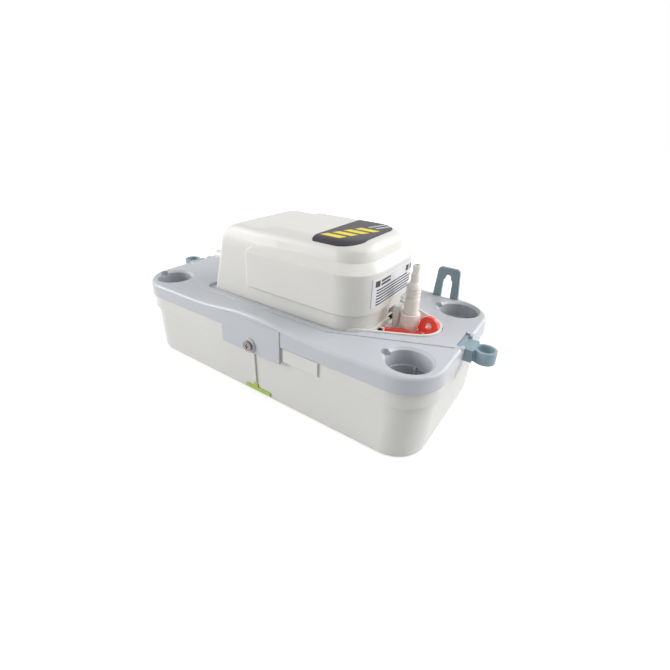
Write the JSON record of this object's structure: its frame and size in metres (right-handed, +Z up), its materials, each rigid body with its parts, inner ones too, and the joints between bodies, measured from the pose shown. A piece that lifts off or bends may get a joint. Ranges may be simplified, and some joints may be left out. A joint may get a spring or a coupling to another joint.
{
  "type": "condensate pump",
  "caption": "Tank pump for condensate water: a flat lidded reservoir with drain inlets, a raised motor housing, a stepped hose outlet with a red release lever, rod brackets and keyhole hangers.",
  "frame": {"origin": "middle of the tank's foot", "axes": "+X points to the discharge end, +Y to the wall side with the hanging brackets, +Z up"},
  "size_m": [0.3186, 0.1502, 0.1309],
  "materials": {
    "white_plastic": "moulded, satin",
    "grey_plastic": "moulded, fine satin",
    "green_tape": "printed film",
    "zinc_steel": "zinc plated",
    "dark_steel": "blackened",
    "spring_steel": "drawn, bright",
    "label_film": "printed film",
    "pale_film": "printed film",
    "ivory_plastic": "moulded, slightly translucent",
    "black_plastic": "moulded",
    "rubber_black": "moulded",
    "red_plastic": "moulded, glossy",
    "blue_grey_plastic": "moulded, satin",
    "lamination": "stacked sheets",
    "copper_winding": "varnished wire",
    "die_cast": "as cast",
    "bronze": "sintered"
  },
  "bodies": {
    "pump_body": {"tank": "white_plastic", "tank_tag": "green_tape", "lid": "grey_plastic", "lid_screws": "zinc_steel", "pump_chassis": "white_plastic", "motor_cover": "white_plastic", "cover_screws": "zinc_steel", "top_label": "label_film", "rating_label": "pale_film", "cable_gland": "white_plastic", "lever_pins": "dark_steel", "valve_body": "ivory_plastic", "stator_core": "lamination", "coil_bobbin": "black_plastic", "stator_coil": "copper_winding", "bearing_bridge_bottom": "die_cast", "bearing_bridge_top": "die_cast", "bearing_bottom": "bronze", "bearing_top": "bronze", "motor_bolts": "zinc_steel", "rubber_mounts": "rubber_black", "shaft_seal": "rubber_black", "pump_casing": "white_plastic", "casing_screws": "zinc_steel", "suction_strainer": "black_plastic", "riser_tube": "ivory_plastic", "float_guide": "white_plastic", "float_clip": "spring_steel", "switch_bracket": "die_cast", "pump_switch": "black_plastic", "alarm_switch": "red_plastic", "terminal_block": "ivory_plastic"},
    "rotor_set": {"rotor": "lamination", "motor_shaft": "spring_steel", "cooling_fan": "black_plastic", "shaft_slinger": "rubber_black", "impeller": "black_plastic"},
    "float_set": {"float_body": "ivory_plastic", "float_rod": "spring_steel"},
    "switch_lever_set": {"switch_lever": "white_plastic"},
    "pump_plunger_set": {"pump_plunger": "ivory_plastic"},
    "alarm_plunger_set": {"alarm_plunger": "ivory_plastic"},
    "poppet_set": {"valve_poppet": "black_plastic", "valve_spring": "spring_steel"},
    "outlet_set": {"outlet_adapter": "ivory_plastic", "adapter_oring": "rubber_black"},
    "release_set": {"release_lever": "red_plastic"},
    "end_right": {"end_bracket_right": "blue_grey_plastic"},
    "end_left": {"end_bracket_left": "blue_grey_plastic"},
    "hanger_right": {"hanging_bracket_right": "blue_grey_plastic"},
    "hanger_left": {"hanging_bracket_left": "blue_grey_plastic"}
  },
  "joints": [
    {"name": "shaft_spin", "type": "hinge", "parent": "pump_body", "child": "rotor_set", "pos_m": [0.025, 0, 0.05], "axis": [0, 0, 1], "continuous": true},
    {"name": "float_rise", "type": "slide", "parent": "pump_body", "child": "float_set", "axis": [0, 0, 1], "range_m": [0, 0.016]},
    {"name": "lever_turn", "type": "hinge", "parent": "pump_body", "child": "switch_lever_set", "pos_m": [-0.045, 0.024, 0.0766], "axis": [-1, 0, 0], "range_deg": [0, 25]},
    {"name": "pump_plunger_press", "type": "slide", "parent": "pump_body", "child": "pump_plunger_set", "axis": [0, 0, 1], "range_m": [0, 0.00125]},
    {"name": "alarm_plunger_press", "type": "slide", "parent": "pump_body", "child": "alarm_plunger_set", "axis": [0, 0, 1], "range_m": [0, 0.00125]},
    {"name": "poppet_lift", "type": "slide", "parent": "pump_body", "child": "poppet_set", "axis": [0, 0, 1], "range_m": [0, 0.004], "stiffness_N_per_m": 60, "deforming": ["valve_spring"]},
    {"name": "outlet_swivel", "type": "hinge", "parent": "pump_body", "child": "outlet_set", "pos_m": [0.0956, 0, 0.08], "axis": [0, 0, 1], "continuous": true},
    {"name": "release_lift", "type": "hinge", "parent": "pump_body", "child": "release_set", "pos_m": [0.0809, 0, 0.0647], "axis": [0, -1, 0], "range_deg": [0, 5]},
    {"name": "end_right_lift", "type": "slide", "parent": "pump_body", "child": "end_right", "axis": [0, 0, 1], "range_m": [0, 0.0115]},
    {"name": "end_left_lift", "type": "slide", "parent": "pump_body", "child": "end_left", "axis": [0, 0, 1], "range_m": [0, 0.0115]},
    {"name": "hanger_right_lift", "type": "slide", "parent": "pump_body", "child": "hanger_right", "axis": [0, 0, 1], "range_m": [0, 0.0115]},
    {"name": "hanger_left_lift", "type": "slide", "parent": "pump_body", "child": "hanger_left", "axis": [0, 0, 1], "range_m": [0, 0.0115]}
  ],
  "couplings": [
    {"joint": "lever_turn", "follows": "float_rise", "rad_per_m": 26.316},
    {"joint": "pump_plunger_press", "follows": "float_rise", "ratio": 0.075},
    {"joint": "alarm_plunger_press", "follows": "float_rise", "ratio": 0.075}
  ]
}
